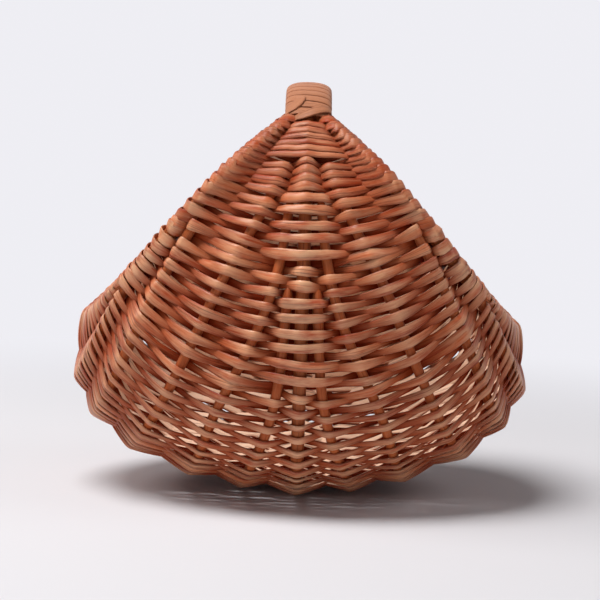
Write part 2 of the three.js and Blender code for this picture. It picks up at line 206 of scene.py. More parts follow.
def willow(name, tones, streak_and_highlight, shade, roughness):
    """A stained willow finish, given its tones from dark to pale, the colour of its pale streaks and painted
    highlights, and the colour of its blotches, cracks and painted shade.

    The grain follows each rod. Every rod brings its tint, its length, its place round the section, how high
    it lies over its neighbours (which sets its wear, painted highlight and painted shade), and which face is
    the outer one: the other shows the pale pith, which also stands in for light falling into the basket.
    """
    material = bpy.data.materials.new(name)
    material.use_nodes = True
    tree = material.node_tree
    shader = tree.nodes["Principled BSDF"]

    def attribute(label, output):
        return add_node(tree, "ShaderNodeAttribute", {"attribute_name": label}, output=output)

    along, tint, wear, outer = (attribute(label, 2) for label in ("along", "tint", "wear", "outer"))
    x, y, _ = split_axes(attribute("section", 1))
    place = along + tint * TINT_SHIFT

    def noise(grain, detail=3.0, rough=0.55):
        across_scale, along_scale = grain
        places = (x * across_scale, y * across_scale, place * along_scale)
        vector = add_node(tree, "ShaderNodeCombineXYZ", values=places)
        values = {"Vector": vector, "Scale": 1.0, "Detail": detail, "Roughness": rough}
        return add_node(tree, "ShaderNodeTexNoise", None, values)

    def band(value, limits):
        return add_node(tree, "ShaderNodeMapRange", {"clamp": True}, (value, *limits, 0.0, 1.0))

    def mixed(factor, first, second):
        return add_node(tree, "ShaderNodeMix", {"data_type": "RGBA"}, {0: factor, 6: first, 7: second}, 2)

    stops = [(i / (len(tones) - 1), tone) for i, tone in enumerate(tones)]
    base = add_node(tree, "ShaderNodeValToRGB", {"stops": stops}, (tint,))
    fibre = noise(FIBRE_GRAIN, detail=4.0, rough=0.7)
    crack = band(noise(CRACK_GRAIN, detail=2.0), CRACK_BAND)
    crest = wear ** CREST_POWER
    colour = mixed(band(noise(BLOTCH_GRAIN), BLOTCH_BAND) * BLOTCH_SHARE, base, shade)
    # Pale fibres of the grain, more of them on the crests as a painted highlight.
    colour = mixed(band(fibre, FIBRE_BAND) * (wear * WORN_LIT_FIBRE_SHARE + FIBRE_SHARE), colour, streak_and_highlight)
    # Painted shade where the weaver lies low and tucks under its neighbours.
    colour = mixed((1 - wear) * TUCK_SHADE_SHARE, colour, shade)
    # Painted shade along the edges of the strip.
    colour = mixed(band(y.maths("ABSOLUTE"), EDGE_SHADE_BAND) * EDGE_SHADE_SHARE, colour, shade)
    # Paler streaks on the crests: wear and a painted highlight.
    colour = mixed(crest * band(noise(CREST_GRAIN), CREST_BAND) * CREST_HIGHLIGHT_SHARE, colour, streak_and_highlight)
    # The inner face takes the pale pith colour, which also stands in for light falling into the basket.
    colour = mixed(band(x * outer, PITH_AND_INSIDE_LIGHT_BAND) * PITH_AND_INSIDE_LIGHT_SHARE, colour, PITH_AND_INSIDE_LIGHT)
    crack_shade = [channel * CRACK_DARKNESS for channel in shade[:3]]
    colour = mixed(crack * CRACK_SHARE, colour, (*crack_shade, 1))
    relief = {"Strength": FIBRE_RELIEF_SHARE, "Distance": FIBRE_RELIEF, "Height": fibre - crack}
    varying = {
        "Base Color": colour,
        "Roughness": fibre * FIBRE_ROUGHNESS + (roughness - FIBRE_ROUGHNESS / 2),
        "Normal": add_node(tree, "ShaderNodeBump", None, relief),
        "Coat Weight": crest * CREST_COAT,
    }
    for label, socket in varying.items():
        tree.links.new(socket.link, shader.inputs[label])
    shader.inputs["Coat Roughness"].default_value = COAT_ROUGHNESS
    shader.inputs["Specular IOR Level"].default_value = SKIN_SPECULAR
    return material


def sweep_tree():
    """A tree that sweeps a rounded section along lines, so that a rod may be round, flattened or a strip."""
    tree = bpy.data.node_groups.new("swept_willow", "GeometryNodeTree")
    tree.interface.new_socket("Geometry", in_out="OUTPUT", socket_type="NodeSocketGeometry")
    inputs = (("Lines", "Geometry"), ("Width", "Float"), ("Thickness", "Float"),
              ("Squareness", "Float"), ("Sides", "Int"), ("Finish", "Material"))
    for label, kind in inputs:
        tree.interface.new_socket(label, in_out="INPUT", socket_type=f"NodeSocket{kind}")
    entry = tree.nodes.new("NodeGroupInput")
    lines, width, thickness, squareness, sides, finish = [
        Socket(tree, entry.outputs[i]) for i in range(len(inputs))]

    def named(label, kind):
        return add_node(tree, "GeometryNodeInputNamedAttribute", {"data_type": kind}, (label,))

    def squared(value, size):
        return value.maths("SIGN") * value.maths("ABSOLUTE") ** squareness * size * 0.5

    circle = add_node(tree, "GeometryNodeCurvePrimitiveCircle", None, {"Resolution": sides, "Radius": 1.0})
    x, y, _ = split_axes(add_node(tree, "GeometryNodeInputPosition"))
    corner = add_node(tree, "ShaderNodeCombineXYZ", values=(squared(x, thickness), squared(y, width), 0.0))
    section = add_node(tree, "GeometryNodeSetPosition", None, {"Geometry": circle, "Position": corner})
    section = add_node(
        tree, "GeometryNodeStoreNamedAttribute", {"data_type": "FLOAT_VECTOR", "domain": "POINT"},
        {"Geometry": section, "Name": "section", "Value": add_node(tree, "GeometryNodeInputPosition")},
    )
    facing, girth, flat = named("facing", "FLOAT_VECTOR"), named("girth", "FLOAT"), named("flat", "FLOAT")
    curve = add_node(tree, "GeometryNodeMeshToCurve", None, (lines,))
    curve = add_node(tree, "GeometryNodeSetCurveNormal", {"mode": "FREE"}, {"Curve": curve, "Normal": facing})
    values = {"Curve": curve, "Profile Curve": section, "Scale": girth, "Fill Caps": True}
    swept = add_node(tree, "GeometryNodeCurveToMesh", None, values)
    depth, _, _ = split_axes(named("section", "FLOAT_VECTOR"))
    values = {0: facing, "Scale": depth * girth * (flat - 1)}
    press = add_node(tree, "ShaderNodeVectorMath", {"operation": "SCALE"}, values)
    swept = add_node(tree, "GeometryNodeSetPosition", None, {"Geometry": swept, "Offset": press})
    smooth = add_node(tree, "GeometryNodeSetShadeSmooth", None, {"Geometry": swept, "Shade Smooth": True})
    real = add_node(tree, "GeometryNodeRealizeInstances", None, (smooth,))
    done = add_node(tree, "GeometryNodeSetMaterial", None, {"Geometry": real, "Material": finish})
    leave = tree.nodes.new("NodeGroupOutput")
    tree.links.new(done.link, leave.inputs[0])
    return tree


swept_willow = sweep_tree()


def line_mesh(name, rods):
    """A mesh of loose lines, one for each rod, with what the sweep and the finish read."""
    points = np.concatenate([rod["points"] for rod in rods])
    edges, start = [], 0
    for rod in rods:
        count = len(rod["points"])
        edges.extend((start + i, start + i + 1) for i in range(count - 1))
        start += count
    mesh = bpy.data.meshes.new(name)
    mesh.from_pydata(points.tolist(), edges, [])
    for label in ("facing", "girth", "along", "tint", "wear", "outer", "flat"):
        values = np.concatenate([rod[label] for rod in rods]).astype(np.float32)
        kind, field = ("FLOAT_VECTOR", "vector") if values.ndim == 2 else ("FLOAT", "value")
        mesh.attributes.new(label, kind, "POINT").data.foreach_set(field, values.ravel())
    return mesh


def sweep_rods(name, rods, width, thickness, squareness, sides, finish):
    """A finished piece swept along the rods' lines, as a plain mesh."""
    piece = bpy.data.objects.new(name, line_mesh(name + "_lines", rods))
    bpy.context.scene.collection.objects.link(piece)
    modifier = piece.modifiers.new("sweep", "NODES")
    modifier.node_group = swept_willow
    values = {"Width": width, "Thickness": thickness, "Squareness": squareness, "Sides": sides,
              "Finish": finish}
    for item in swept_willow.interface.items_tree:
        if item.name in values:
            modifier[item.identifier] = values[item.name]
    lines = piece.data
    swept = bpy.data.meshes.new_from_object(piece.evaluated_get(bpy.context.evaluated_depsgraph_get()))
    swept.name = name
    piece.modifiers.remove(modifier)
    piece.data = swept
    bpy.data.meshes.remove(lines)
    return piece


# Whole rods lie at one even height, so their wear, painted highlight and painted shade are even along them.
PLAIN_WEAR_AND_LIGHT = 0.6


def unit(vectors):
    return vectors / np.maximum(np.linalg.norm(vectors, axis=-1, keepdims=True), 1e-12)


def make_rod(points, facing, girth, tint):
    """A rod's record: its facing is made square to its line, and lengths are measured along it."""
    points = np.asarray(points)
    tangent = unit(np.gradient(points, axis=0))
    facing = unit(facing - (facing * tangent).sum(-1, keepdims=True) * tangent)
    along = np.concatenate(([0], np.cumsum(step_lengths(points))))
    count = len(points)
    return {
        "points": points, "facing": facing, "along": along,
        "girth": np.broadcast_to(girth, count), "tint": np.full(count, tint),
        "wear": np.full(count, PLAIN_WEAR_AND_LIGHT), "outer": np.zeros(count), "flat": np.ones(count),
    }


def smoothstep(value, low, high):
    t = np.clip((value - low) / (high - low), 0, 1)
    return t * t * (3 - 2 * t)


def wander(random, count, knots, size):
    """A smooth random line of the given size, for the unevenness of grown wood."""
    places = np.linspace(0, knots, count)
    values = random.normal(0, size, knots + 2)
    low = np.floor(places).astype(int)
    t = smoothstep(places - low, 0, 1)
    return values[low] * (1 - t) + values[low + 1] * t


HANDLE_POINTS = 24
BODY_POINTS = 150
ROD_SIDES = 14
ROUND = 1
HOOP_SEED = 7
HOOP_KNOTS = 26
HOOP_UNEVENNESS = 0.02
HOOP_TINTS = (0.2, 0.8)

hoop_willow = willow(
    "hoop_willow",
    tones=((0.35, 0.078, 0.020), (0.43, 0.108, 0.032), (0.51, 0.145, 0.048)),
    streak_and_highlight=(0.64, 0.25, 0.10, 1), shade=(0.25, 0.046, 0.011, 1), roughness=0.5,
)
random = np.random.default_rng(HOOP_SEED)


def hoop(x, body):
    """A whole hoop from mid handle round to mid handle, given its near half below the ear."""
    handle = keel_curve(np.linspace(math.pi / 2, ear_angle, HANDLE_POINTS, endpoint=False))
    handle[:, 0] = x
    handle[0, 1] = -HOOP_GAP / 2
    near = np.concatenate([handle, body])
    points = np.concatenate([near, (near * (1, -1, 1))[-2::-1]])
    outward = points - (0, 0, BELLY_HEIGHT)
    girth = 1 + wander(random, len(points), HOOP_KNOTS, HOOP_UNEVENNESS)
    return make_rod(points, outward, girth, random.uniform(*HOOP_TINTS))


shares = np.linspace(0, 1, BODY_POINTS)
hoops = {
    "keel_hoop": hoop(0, keel_line(shares)),
    "rim_hoop_left": hoop(-HOOP_SPACING, rim_line(shares) * (-1, 1, 1)),
    "rim_hoop_right": hoop(HOOP_SPACING, rim_line(shares)),
}
for name, rod in hoops.items():
    piece = sweep_rods(name + "_rod", [rod], HOOP_ROD, HOOP_ROD, ROUND, ROD_SIDES, hoop_willow)
    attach(piece, "root")
    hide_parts(name)


# Ribs: ten thinner rods of peeled willow, five on each side of the keel, cut to points at both ends.
# They are pushed into the weave beside the rods that stand there, fan out from the ears along the belly,
# and are held by nothing but the weave.
RIB_ROD = 0.0062
RIB_POINTS = 220
RIB_POINT_LENGTH = 0.006
RIB_POINT_GIRTH = 0.35
RIB_SEED = 11
RIB_KNOTS = 20
RIB_UNEVENNESS = 0.025
RIB_TINTS = (0.1, 0.9)
RIBS = (
    {"ear": 0.08, "amidships": 0.15, "moves": (0.5, 0.85), "start": 0.36, "with_keel_to": 0.56},
    {"ear": 0.145, "amidships": 0.298, "moves": (0.26, 0.68), "start": 0.19, "with_keel_to": 0.32},
    {"ear": 0.3, "amidships": 0.487, "moves": (0.05, 0.42), "start": 0.115, "with_keel_to": 0},
    {"ear": 0.96, "amidships": 0.65, "moves": (0, 0.95), "start": 0.3, "with_keel_to": 0},
    {"ear": 1.06, "amidships": 0.79, "moves": (0.3, 1), "start": 0.54, "with_keel_to": 0},
)
EAR_ROW = ((0, 0), (0.42, 0.02), (0.74, 0.5), (1, 1))
FULL_ROW = ((0, 0), (0.575, 0), (1.24, 0.342), (1, 1))
FULLNESS_START = 0.24
RIM_LEAD = 0.64
RIM_LEAD_FADE = 1.2
FRAME_STEP = 2e-3

rib_willow = willow(
    "rib_willow",
    tones=((0.42, 0.078, 0.018), (0.51, 0.110, 0.028), (0.60, 0.155, 0.046)),
    streak_and_highlight=(0.74, 0.29, 0.12, 1), shade=(0.27, 0.040, 0.008, 1), roughness=0.46,
)


def from_ear(way):
    """How far a way is from the nearer ear: 0 at the ears, 1 amidships."""
    return np.minimum(way, 2 - way)


def belly(way, across):
    """Points of the surface on which keel, ribs and rims lie, at matching arrays of way and across.

    A way runs from the near ear (0) under the basket (1) to the far ear (2), and across runs from the
    left rim (-1) over the keel (0) to the right rim (1).
    """
    way, across = np.broadcast_arrays(np.asarray(way, float), np.asarray(across, float))
    share = np.clip(from_ear(way), 0, 1)
    lead = share + RIM_LEAD * share * (1 - share) ** RIM_LEAD_FADE
    keel, rim = keel_line(share), rim_line(np.clip(lead, 0, 1))
    full = smoothstep(share, FULLNESS_START, 1)
    t = np.abs(across)
    weights = ((1 - t) ** 3, 3 * t * (1 - t) ** 2, 3 * t ** 2 * (1 - t), t ** 3)
    row = list(zip(weights, EAR_ROW, FULL_ROW))
    out = sum(weight * (ear[0] + full * (amidships[0] - ear[0])) for weight, ear, amidships in row)
    up = sum(weight * (ear[1] + full * (amidships[1] - ear[1])) for weight, ear, amidships in row)
    points = keel + up[..., None] * (rim - keel)
    points[..., 0] = np.sign(across) * out * rim[..., 0]
    points[..., 1] *= np.where(way <= 1, 1, -1)
    return points


def belly_frame(way, across):
    """Outward normals, and directions towards growing across, of the belly."""
    step = FRAME_STEP
    down = belly(np.clip(way + step, 0, 2), across) - belly(np.clip(way - step, 0, 2), across)
    side = belly(way, np.clip(across + step, -1, 1)) - belly(way, np.clip(across - step, -1, 1))
    normal = unit(np.cross(down, side))
    return normal, unit(np.cross(normal, np.cross(side, normal)))


def between(first, last, value, limits):
    """Goes smoothly from first to last while a value passes from one limit to the other."""
    return first + (last - first) * smoothstep(value, *limits)


def rib_across(rib, way):
    """Where a rib lies between keel and rim, at each way."""
    return between(rib["ear"], rib["amidships"], from_ear(way), rib["moves"])


random = np.random.default_rng(RIB_SEED)
for side, side_name in ((-1, "left"), (1, "right")):
    for number, rib in enumerate(RIBS, 1):
        rib_ways = np.linspace(rib["start"], 2 - rib["start"], RIB_POINTS)
        across = side * rib_across(rib, rib_ways)
        normal, _ = belly_frame(rib_ways, across)
        rod = make_rod(belly(rib_ways, across), normal, 1, random.uniform(*RIB_TINTS))
        to_end = np.minimum(rod["along"], rod["along"][-1] - rod["along"])
        point = RIB_POINT_GIRTH + (1 - RIB_POINT_GIRTH) * np.sqrt(np.clip(to_end / RIB_POINT_LENGTH, 0, 1))
        rod["girth"] = point * (1 + wander(random, RIB_POINTS, RIB_KNOTS, RIB_UNEVENNESS))
        name = f"rib_{side_name}_{number}"
        piece = sweep_rods(name + "_rod", [rod], RIB_ROD, RIB_ROD, ROUND, ROD_SIDES, rib_willow)
        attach(piece, "root")
        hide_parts(f"rib_{side_name}_{number}")


# Weave: flattened weavers of stained willow go to and fro between the rims, over one rod and under the
# next, and turn round each rim. They are packed tight at the ears, open out round the belly, and hold by
# their own grip; short ends are wound on beside the handle and where the order changes.
WEAVER_WIDTH = 0.0062
WEAVER_THICKNESS = 0.0024
WEAVER_SQUARENESS = 0.78
WEAVER_SIDES = 12
WEAVER_STEP = 0.0016
ROD_CLEARANCE = 0.0001
OVER_ROWS = 39
FIRST_ROW = 0.032
EAR_PITCH = 0.0145
BODY_PITCH = 0.030
PITCH_OPENS = (0.08, 0.28)

weave_willow = willow(
    "weave_willow",
    tones=((0.36, 0.047, 0.009), (0.54, 0.082, 0.016), (0.49, 0.092, 0.026), (0.62, 0.118, 0.028),
           (0.72, 0.205, 0.074)),
    streak_and_highlight=(0.83, 0.47, 0.26, 1), shade=(0.22, 0.017, 0.002, 1), roughness=0.4,
)


def over_pitch(share):
    """Distance between the rows that pass over the keel, as a share of the keel."""
    return between(EAR_PITCH, BODY_PITCH, share, PITCH_OPENS)


def row_ways():
    """Ways of all rows. Rows that lie over and under the keel take turns; one over row lies amidships."""
    shares = [FIRST_ROW]
    for _ in range(2 * OVER_ROWS - 2):
        shares.append(shares[-1] + over_pitch(shares[-1]) / 2)
    shares = np.array(shares)
    shares = FIRST_ROW + (shares - FIRST_ROW) * (1 - FIRST_ROW) / (shares[-1] - FIRST_ROW)
    return np.concatenate([shares, 2 - shares[-2::-1]])


ways = row_ways()
row_shares = from_ear(ways)
last_row = len(ways) - 1

PACKED_GIRTH = 0.72
PACKED_TO = (0.09, 0.2)
FAR_GIRTH = 1.25
FAR_FROM = (0.86, 0.95)
FAR_TO = (1.45, 1.55)
OPEN_GIRTH = 0.78
OPEN_UNDER = 0.85
OPEN_FROM = (0.53, 0.6)
OPEN_TO = (0.74, 0.9)
RIM_GIRTH = 1.12
EAR_RIM_GIRTH = 1.5
EAR_RIM_TO = (0.08, 0.22)
# How deep the wear and the painted highlight and shade go: less at the ears.
EAR_WEAR_AND_LIGHT = 0.45
EAR_WEAR_AND_LIGHT_TO = (0.1, 0.32)
EAR_SAG = 0.2
EAR_SAG_TO = 0.3
EAR_SAG_POWER = 1.3


def open_work(way):
    """Where the near side's weave is open, from 0 to 1."""
    return smoothstep(way, *OPEN_FROM) * (1 - smoothstep(way, *OPEN_TO))


def weaver_girth(way):
    """Girth of the weavers: slender where they are packed at the ears, and in the near side's open work."""
    packed = between(PACKED_GIRTH, 1, from_ear(way), PACKED_TO)
    far = 1 + (FAR_GIRTH - 1) * smoothstep(way, *FAR_FROM) * (1 - smoothstep(way, *FAR_TO))
    return packed * far * (1 - (1 - OPEN_GIRTH) * open_work(way))


def rim_girth(share):
    """How much broader the weavers lie where they turn round the rims."""
    return between(EAR_RIM_GIRTH, RIM_GIRTH, share, EAR_RIM_TO)


def wear_and_light_depth(share):
    """How strongly the weave's crests are paled, by wear and a painted highlight, and its tucks darkened by
    painted shade: less near the handle than round the belly.
    """
    return between(EAR_WEAR_AND_LIGHT, 1, share, EAR_WEAR_AND_LIGHT_TO)


def sagging(way, across):
    """The way of a row at each across: near the ears it sags from the keel towards the rims."""
    share = from_ear(way)
    sag = EAR_SAG * share * np.clip(1 - share / EAR_SAG_TO, 0, 1) ** 2
    return way + np.where(way < 1, 1, -1) * sag * np.abs(across) ** EAR_SAG_POWER


def row_units(share):
    """Rods on one side that a row meets, outwards from the keel, as (rib or None for the rim, unit)."""
    unit_number, met = 0, []
    for rib in RIBS:
        if share >= rib["start"]:
            unit_number += 0 if share < rib["with_keel_to"] else 1
            met.append((rib, unit_number))
    met.append((None, unit_number + 1))
    return met


def row_rods(row):
    """The rods of a row from left to right: across, reach and the side on which the weaver passes."""
    way = ways[row]
    met = row_units(row_shares[row])
    stand_off = ROD_CLEARANCE + WEAVER_THICKNESS * weaver_girth(way) / 2

    def crossing(side, rib, number):
        across = 1 if rib is None else float(rib_across(rib, way))
        reach = stand_off + (HOOP_ROD if rib is None else RIB_ROD) / 2
        passing = 1 if (row + number) % 2 == 0 else -1
        if rib is not None and passing < 0:
            reach *= 1 - (1 - OPEN_UNDER) * open_work(way)
        return side * across, reach, passing

    left = [crossing(-1, rib, number) for rib, number in reversed(met)]
    right = [crossing(1, rib, number) for rib, number in met]
    return left + [(0.0, stand_off + HOOP_ROD / 2, 1 if row % 2 == 0 else -1)] + right


STEEPEST = math.sin(math.radians(68))
TONGUE_CROSSING = 2.8
BAND_CROSSING = 1.5
RIM_KEEP = (0.85, 1.5, 1)
RIM_KEEP_CHANGES = ((0.29, 0.34), (0.46, 0.54))


def towards_rim(x, length, from_keel, over_rim):
    """Places along a bare span from keel to rim: the weaver keeps its side until it is near the rim."""
    share = x / length if from_keel else 1 - x / length
    share = share ** (BAND_CROSSING if over_rim else TONGUE_CROSSING)
    return length * (share if from_keel else 1 - share)


def rim_keep(share):
    """How long a weaver keeps its side past the rim: below the ear, by the fourth rib, round the belly."""
    above, beside, below = RIM_KEEP
    first, second = RIM_KEEP_CHANGES
    to_beside = (beside - above) * smoothstep(share, *first)
    return above + to_beside + (below - beside) * smoothstep(share, *second)


def span_heights(x, length, first_reach, first_pass, next_reach, next_pass):
    """Height of a weaver over the belly between two rods: round the rods, straight between them."""
    start, end = first_pass * first_reach, next_pass * next_reach
    together = first_reach + next_reach
    if first_pass == next_pass or together > STEEPEST * length:
        return start + (end - start) * smoothstep(x, 0, length)
    sine = together / length
    cosine = math.sqrt(1 - sine * sine)
    leave, arrive = first_reach * sine, length - next_reach * sine
    straight = np.interp(x, (leave, arrive), (start * cosine, end * cosine))
    round_first = first_pass * np.sqrt(np.maximum(first_reach ** 2 - x ** 2, 0))
    round_next = next_pass * np.sqrt(np.maximum(next_reach ** 2 - (length - x) ** 2, 0))
    return np.where(x < leave, round_first, np.where(x > arrive, round_next, straight))


SPAN_POINTS = 5
TUCK_GIRTH = 0.66
OPEN_TUCK_GIRTH = 0.8
FAR_TUCK_GIRTH = 0.95
FAR_TUCK_FROM = 0.92
TUCK_SWELL = 0.8
RIM_BROADENS = (0.6, 1)
RIM_FLAT = 0.5
RIM_FLATTENS = (0.45, 0.85)
WAVER_KNOTS = 7
EAR_WAVER = 0.08
BODY_WAVER = 0.16
WAVER_GROWS = (0.1, 0.2)
EAR_RIDGE = 0.0017
EAR_RIDGE_HALF = 0.011
EAR_RIDGE_POWER = 1.5
EAR_RIDGE_TO = (0.12, 0.32)
# How high a weaver lies, from tucked under (painted shade) to over a rod (paler: wear and a painted
# highlight).
MIDDLE_WEAR_AND_LIGHT = 0.5
TURN_WEAR_AND_LIGHT = 0.3
TURN_STEPS = 12


def row_line(row, random):
    """A row from left to right, with a slight waver, as what a rod brings and where it tucks inside."""
    rods = row_rods(row)
    share = row_shares[row]
    tuck = TUCK_GIRTH + (OPEN_TUCK_GIRTH - TUCK_GIRTH) * open_work(ways[row])
    if ways[row] > FAR_TUCK_FROM:
        tuck = FAR_TUCK_GIRTH
    across, heights, inside, girth = [], [], [], []
    for (a, reach_a, pass_a), (b, reach_b, pass_b) in zip(rods, rods[1:]):
        ends = belly(ways[row], np.array([a, b]))
        length = float(np.linalg.norm(ends[1] - ends[0]))
        count = max(SPAN_POINTS, round(length / WEAVER_STEP))
        x = np.linspace(0, length, count, endpoint=False)
        across.append(a + (b - a) * x / length)
        if {abs(a), abs(b)} == {0, 1}:
            x = towards_rim(x, length, a == 0, (pass_b if a == 0 else pass_a) > 0)
        elif abs(b) == 1:
            x = length - length * (1 - x / length) ** rim_keep(share)
        elif abs(a) == 1:
            x = length * (x / length) ** rim_keep(share)
        heights.append(span_heights(x, length, reach_a, pass_a, reach_b, pass_b))
        inside.append(np.where((np.arange(count) == 0) & (pass_a < 0) & (abs(a) < 1), 1, 0))
        lift = np.minimum(np.abs(heights[-1]) / min(reach_a, reach_b), 1)
        girth.append(tuck + (1 - tuck) * lift ** TUCK_SWELL)
    across = np.concatenate([*across, [1.0]])
    heights = np.concatenate([*heights, [rods[-1][2] * rods[-1][1]]])
    from_keel = np.abs(across)
    waver_size = between(EAR_WAVER, BODY_WAVER, share, WAVER_GROWS) * (over_pitch(share) / 2)
    waver = wander(random, len(across), WAVER_KNOTS, waver_size)
    row_way = np.clip(sagging(ways[row], across) + waver, 0, 2)
    normal, _ = belly_frame(row_way, across)
    points = belly(row_way, across)
    if row % 2 == 0:
        near_keel = np.clip(1 - np.abs(points[:, 0]) / EAR_RIDGE_HALF, 0, 1)
        heights = heights + EAR_RIDGE * near_keel ** EAR_RIDGE_POWER * (1 - smoothstep(share, *EAR_RIDGE_TO))
    height_share = np.clip(heights / rods[0][1], -1, 1)
    return {
        "points": points + heights[:, None] * normal,
        "facing": normal,
        "inside": np.concatenate([*inside, [0]]),
        "girth": np.concatenate([*girth, [1.0]]) * between(1, rim_girth(share), from_keel, RIM_BROADENS),
        # Over a rod the weaver is paler (wear and a painted highlight); tucked under it, darker (painted
        # shade).
        "wear": MIDDLE_WEAR_AND_LIGHT + (1 - MIDDLE_WEAR_AND_LIGHT) * wear_and_light_depth(share) * height_share,
        "flat": between(1, RIM_FLAT, from_keel, RIM_FLATTENS),
    }


def round_rim(way, side, angle, reach, rim_pass=1):
    """Points round a rim, at angles from the side on which a weaver passes, and their directions from it."""
    across = np.full(len(angle), float(side))
    normal, sideways = belly_frame(way, across)
    radial = rim_pass * np.cos(angle)[:, None] * normal + side * np.sin(angle)[:, None] * sideways
    return belly(way, across) + reach * radial, radial


def turn_line(row, side, next_way):
    """The turn round a rim from a row towards another way, as what a rod brings."""
    _, reach, rim_pass = row_rods(row)[0 if side < 0 else -1]
    angle = np.linspace(0, math.pi, TURN_STEPS + 2)[1:-1]
    way = sagging(ways[row] + (next_way - ways[row]) * smoothstep(angle, 0, math.pi), side)
    points, radial = round_rim(way, side, angle, reach, rim_pass)
    return {
        "points": points,
        "facing": rim_pass * radial,
        "inside": np.zeros(TURN_STEPS, int),
        "girth": np.full(TURN_STEPS, rim_girth(row_shares[row])),
        # Round a rim the weaver lies high, so it is paler: wear and a painted highlight.
        "wear": np.full(TURN_STEPS, MIDDLE_WEAR_AND_LIGHT + TURN_WEAR_AND_LIGHT * wear_and_light_depth(row_shares[row])),
        "flat": np.full(TURN_STEPS, RIM_FLAT),
    }


def order_changes(row):
    """Whether a rib is let in after a row, so that over and under change places."""
    units, next_units = ([number for _, number in row_units(row_shares[r])] for r in (row, row + 1))
    return units != next_units


def weave_lines(random):
    """The whole weave as long lines, broken only where a rib is let in and the order of passing changes."""
    lines, current, turned = [], [], 1

    def lay(row, strip, outer, step):
        strip = {key: values[::step] for key, values in strip.items()}
        strip["facing"] = turned * strip["facing"]
        strip["outer"] = turned * outer[::step]
        strip["row"] = np.full(len(outer), row)
        current.append(strip)

    def turn(row, side, next_way, step):
        lay(row, turn_line(row, side, next_way), np.linspace(1, -1, TURN_STEPS), step)

    for row in range(last_row + 1):
        side = 1 if row % 2 == 0 else -1
        strip = row_line(row, random)
        lay(row, strip, np.ones(len(strip["points"])), side)
        if row == last_row:
            break
        if not order_changes(row):
            turn(row, side, ways[row + 1], 1)
            turned = -turned
        else:
            halfway = (ways[row] + ways[row + 1]) / 2
            turn(row, side, halfway, 1)
            lines.append(current)
            current, turned = [], 1
            turn(row + 1, side, halfway, -1)
    lines.append(current)
    return [{key: np.concatenate([part[key] for part in line]) for key in line[0]} for line in lines]


ROWS_PER_WEAVER = 2.6
FIRST_CUT = (0.6, 1)
NEXT_CUTS = (0.7, 1.3)
WEAVER_LAP = 9
WEAVER_TIP = 0.012
WEAVER_TIP_GIRTH = 0.45
WEAVER_KNOTS = 30
WEAVER_TWIST = math.radians(9)
TWIST_GROWS = (0.12, 0.25)
GROWN_GIRTH = (0.88, 1.1)
GROWN_UNEVENNESS = 0.07
EAR_TINT = 0.4
EAR_TINT_TO = (0.1, 0.2)


def cut_weavers(line, random):
    """Cuts a long line into weavers of a few rows each, which lap where the line is tucked inside."""
    rows = line["row"]
    cuts, target = [0], rows[0] + random.uniform(*FIRST_CUT) * ROWS_PER_WEAVER
    for tuck in np.flatnonzero(line["inside"]):
        if rows[tuck] >= target and len(rows) - tuck > 3 * WEAVER_LAP:
            cuts.append(tuck)
            target = rows[tuck] + random.uniform(*NEXT_CUTS) * ROWS_PER_WEAVER
    cuts.append(len(rows))
    for start, end in zip(cuts, cuts[1:]):
        part = slice(max(0, start - WEAVER_LAP), min(end + WEAVER_LAP, len(rows)))
        way = ways[rows[part]]
        tangent = unit(np.gradient(line["points"][part], axis=0))
        twist = wander(random, len(way), WEAVER_KNOTS, WEAVER_TWIST) * smoothstep(from_ear(way), *TWIST_GROWS)
        twist = twist[:, None]
        facing = line["facing"][part]
        facing = np.cos(twist) * facing + np.sin(twist) * np.cross(tangent, facing)
        palest = between(EAR_TINT, 1, from_ear(way.mean()), EAR_TINT_TO)
        rod = make_rod(line["points"][part], facing, 1, random.uniform(0, palest))
        to_end = np.minimum(rod["along"], rod["along"][-1] - rod["along"])
        tip = WEAVER_TIP_GIRTH + (1 - WEAVER_TIP_GIRTH) * np.clip(to_end / WEAVER_TIP, 0, 1)
        grown = random.uniform(*GROWN_GIRTH) + wander(random, len(way), WEAVER_KNOTS, GROWN_UNEVENNESS)
        rod["girth"] = weaver_girth(way) * line["girth"][part] * tip * grown
        for label in ("wear", "flat", "outer"):
            rod[label] = line[label][part]
        rod["row"] = float(rows[part].mean())
        yield rod


BREAK_WRAP_ANGLE = math.radians(120)
BREAK_WRAP_POINTS = 30
BREAK_WRAP_SLOPE = 0.3
BREAK_WRAPS_FROM = 0.25


def break_wraps(random):
    """Short ends of weaver laid over the rims below the ears, where two rows running tuck under them."""
    angle = np.linspace(-BREAK_WRAP_ANGLE, BREAK_WRAP_ANGLE, BREAK_WRAP_POINTS)
    for row in range(last_row):
        _, reach, rim_pass = row_rods(row)[0]
        if row_shares[row] > BREAK_WRAPS_FROM and order_changes(row) and rim_pass < 0:
            halfway = (ways[row] + ways[row + 1]) / 2
            lean = (ways[row + 1] - ways[row]) * BREAK_WRAP_SLOPE * angle
            girth = weaver_girth(halfway) * rim_girth(from_ear(halfway))
            for side in (-1, 1):
                points, radial = round_rim(sagging(halfway + lean, side), side, angle, reach)
                rod = make_rod(points, radial, girth, random.uniform(0, 1))
                rod["flat"] = np.full(BREAK_WRAP_POINTS, RIM_FLAT)
                rod["row"] = row
                yield rod


EAR_WRAP_SPAN = (0.001, 0.042)
EAR_WRAP_TURNS = 2.2
EAR_WRAP_START = 0.6
EAR_WRAP_POINTS = 60


